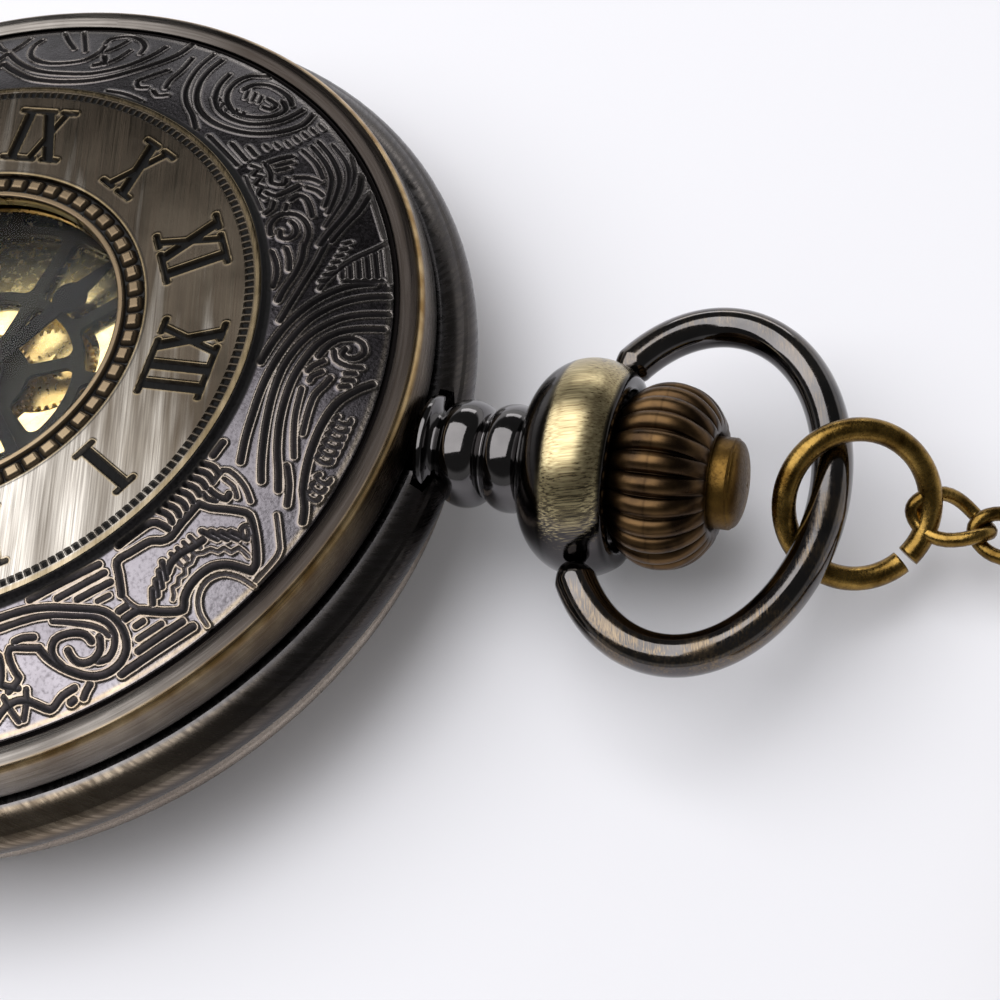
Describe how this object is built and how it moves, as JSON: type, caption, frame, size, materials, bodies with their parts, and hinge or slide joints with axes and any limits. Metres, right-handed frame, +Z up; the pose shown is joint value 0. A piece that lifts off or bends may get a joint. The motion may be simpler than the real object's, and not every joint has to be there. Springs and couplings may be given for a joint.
{
  "type": "pocket watch",
  "caption": "Half-hunter pocket watch with a windowed, ornamented cover, fluted crown, oval bow, jump ring and chain.",
  "frame": {"origin": "centre of the flat back that the watch rests on", "axes": "+Z up out of the front cover, +Y towards the crown at twelve o'clock, +X towards three o'clock"},
  "size_m": [0.0543, 0.1108, 0.0117],
  "materials": {
    "antique_silver": "antique satin",
    "plate_bronze": "brushed antique",
    "black_nickel": "polished dark",
    "pale_brass": "brushed",
    "crown_copper": "antique satin",
    "antique_brass": "satin",
    "case_brown": "diagonal brushed",
    "steel": "satin",
    "gilt": "gilt",
    "ruby": "polished",
    "crystal_glass": "clear",
    "dial_finish": "satin",
    "hand_black": "gloss"
  },
  "bodies": {
    "case": {"middle_case": "case_brown", "back_cover": "case_brown", "hinge_pin": "steel", "crystal": "crystal_glass", "crystal_bezel": "pale_brass", "cover_lift_spring": "steel", "pendant_neck": "black_nickel", "pendant_sleeve": "steel", "pendant_cup": "pale_brass", "movement_ring": "gilt", "main_plate": "gilt", "barrel_bridge": "gilt", "train_bridge": "gilt", "balance_cock": "gilt", "pallet_bridge": "gilt", "bridge_screws": "steel", "jewels": "ruby", "minute_post": "steel", "hairspring": "steel", "mainspring": "steel", "dial": "dial_finish"},
    "front_cover": {"cover_shell": "antique_silver", "window_glass": "crystal_glass", "window_ring": "gilt"},
    "bow": {"bow": "black_nickel"},
    "jump_ring": {"jump_ring": "antique_brass", "chain_run": "antique_brass", "chain_coil": "antique_brass", "chain_t_bar": "antique_brass"},
    "winding_pinion": {"winding_pinion": "steel"},
    "crown": {"crown_knob": "crown_copper", "winding_stem": "steel", "sliding_clutch": "steel"},
    "push_button": {"push_button": "antique_brass", "push_collar": "steel"},
    "lid_latch": {"lid_latch": "steel"},
    "crown_wheel": {"crown_wheel": "steel"},
    "ratchet_wheel": {"ratchet_wheel": "steel"},
    "click": {"click": "steel"},
    "mainspring_barrel": {"mainspring_barrel": "gilt"},
    "centre_wheel": {"centre_wheel": "gilt", "cannon_pinion": "steel", "minute_hand": "hand_black"},
    "third_wheel": {"third_wheel": "gilt"},
    "fourth_wheel": {"fourth_wheel": "gilt", "seconds_hand": "hand_black"},
    "escape_wheel": {"escape_wheel": "steel"},
    "pallet_fork": {"pallet_fork": "steel"},
    "balance_wheel": {"balance_wheel": "gilt"},
    "regulator": {"regulator": "steel"},
    "minute_wheel": {"minute_wheel": "gilt"},
    "hour_wheel": {"hour_wheel": "gilt", "hour_hand": "hand_black"}
  },
  "joints": [
    {"name": "cover_hinge", "type": "hinge", "parent": "case", "child": "front_cover", "pos_m": [0, -0.0226, 0.00775], "axis": [1, 0, 0], "range_deg": [0, 105]},
    {"name": "bow_swing", "type": "hinge", "parent": "case", "child": "bow", "pos_m": [0, 0.0296, 0.0064], "axis": [1, 0, 0], "range_deg": [-80, 90]},
    {"name": "ring_swing", "type": "hinge", "parent": "bow", "child": "jump_ring", "pos_m": [0, 0.03999, 0.00558], "axis": [1, 0, 0], "range_deg": [-30, 8]},
    {"name": "crown_turn", "type": "hinge", "parent": "case", "child": "winding_pinion", "pos_m": [0, 0.0152, 0.0064], "axis": [0, 1, 0], "continuous": true},
    {"name": "crown_pull", "type": "slide", "parent": "winding_pinion", "child": "crown", "axis": [0, 1, 0], "range_m": [0, 0.0008]},
    {"name": "button_press", "type": "slide", "parent": "crown", "child": "push_button", "axis": [0, -1, 0], "range_m": [0, 0.0006]},
    {"name": "latch_slide", "type": "slide", "parent": "case", "child": "lid_latch", "axis": [0, -1, 0], "range_m": [0, 0.0006]},
    {"name": "crown_wheel_turn", "type": "hinge", "parent": "case", "child": "crown_wheel", "pos_m": [0, 0.013, 0.0027], "axis": [0, 0, 1], "continuous": true},
    {"name": "ratchet_turn", "type": "hinge", "parent": "case", "child": "ratchet_wheel", "pos_m": [0.0069, 0.00536, 0.0027], "axis": [0, 0, 1], "continuous": true},
    {"name": "click_swing", "type": "hinge", "parent": "case", "child": "click", "pos_m": [0.01475, 0.0025, 0.0027], "axis": [0, 0, 1], "range_deg": [0, 12]},
    {"name": "barrel_turn", "type": "hinge", "parent": "case", "child": "mainspring_barrel", "pos_m": [0.0069, 0.00536, 0.0051], "axis": [0, 0, 1], "continuous": true},
    {"name": "centre_turn", "type": "hinge", "parent": "case", "child": "centre_wheel", "pos_m": [0, 0, 0.005], "axis": [0, 0, 1], "continuous": true},
    {"name": "third_turn", "type": "hinge", "parent": "case", "child": "third_wheel", "pos_m": [-0.0029, -0.00401, 0.0046], "axis": [0, 0, 1], "continuous": true},
    {"name": "fourth_turn", "type": "hinge", "parent": "case", "child": "fourth_wheel", "pos_m": [0, -0.0074, 0.005], "axis": [0, 0, 1], "continuous": true},
    {"name": "escape_turn", "type": "hinge", "parent": "case", "child": "escape_wheel", "pos_m": [-0.00326, -0.00859, 0.0044], "axis": [0, 0, 1], "continuous": true},
    {"name": "fork_rock", "type": "hinge", "parent": "case", "child": "pallet_fork", "pos_m": [-0.00625, -0.00778, 0.0044], "axis": [0, 0, 1], "range_deg": [-5, 5]},
    {"name": "balance_swing", "type": "hinge", "parent": "case", "child": "balance_wheel", "pos_m": [-0.0106, -0.0066, 0.00495], "axis": [0, 0, 1], "range_deg": [-150, 150]},
    {"name": "regulator_turn", "type": "hinge", "parent": "case", "child": "regulator", "pos_m": [-0.0106, -0.0066, 0.0029], "axis": [0, 0, 1], "range_deg": [-15, 15]},
    {"name": "minute_wheel_turn", "type": "hinge", "parent": "case", "child": "minute_wheel", "pos_m": [-0.0015, 0.0026, 0.0069], "axis": [0, 0, 1], "continuous": true},
    {"name": "hour_turn", "type": "hinge", "parent": "case", "child": "hour_wheel", "pos_m": [0, 0, 0.0072], "axis": [0, 0, 1], "continuous": true}
  ],
  "couplings": [
    {"joint": "crown_wheel_turn", "follows": "crown_turn", "ratio": 0.5},
    {"joint": "ratchet_turn", "follows": "crown_turn", "ratio": -0.26923},
    {"joint": "latch_slide", "follows": "button_press", "ratio": 1},
    {"joint": "third_turn", "follows": "fourth_turn", "ratio": -0.13333},
    {"joint": "centre_turn", "follows": "fourth_turn", "ratio": 0.016667},
    {"joint": "barrel_turn", "follows": "fourth_turn", "ratio": -0.0025},
    {"joint": "escape_turn", "follows": "fourth_turn", "ratio": -10},
    {"joint": "minute_wheel_turn", "follows": "fourth_turn", "ratio": -0.0055556},
    {"joint": "hour_turn", "follows": "fourth_turn", "ratio": 0.0013889}
  ]
}
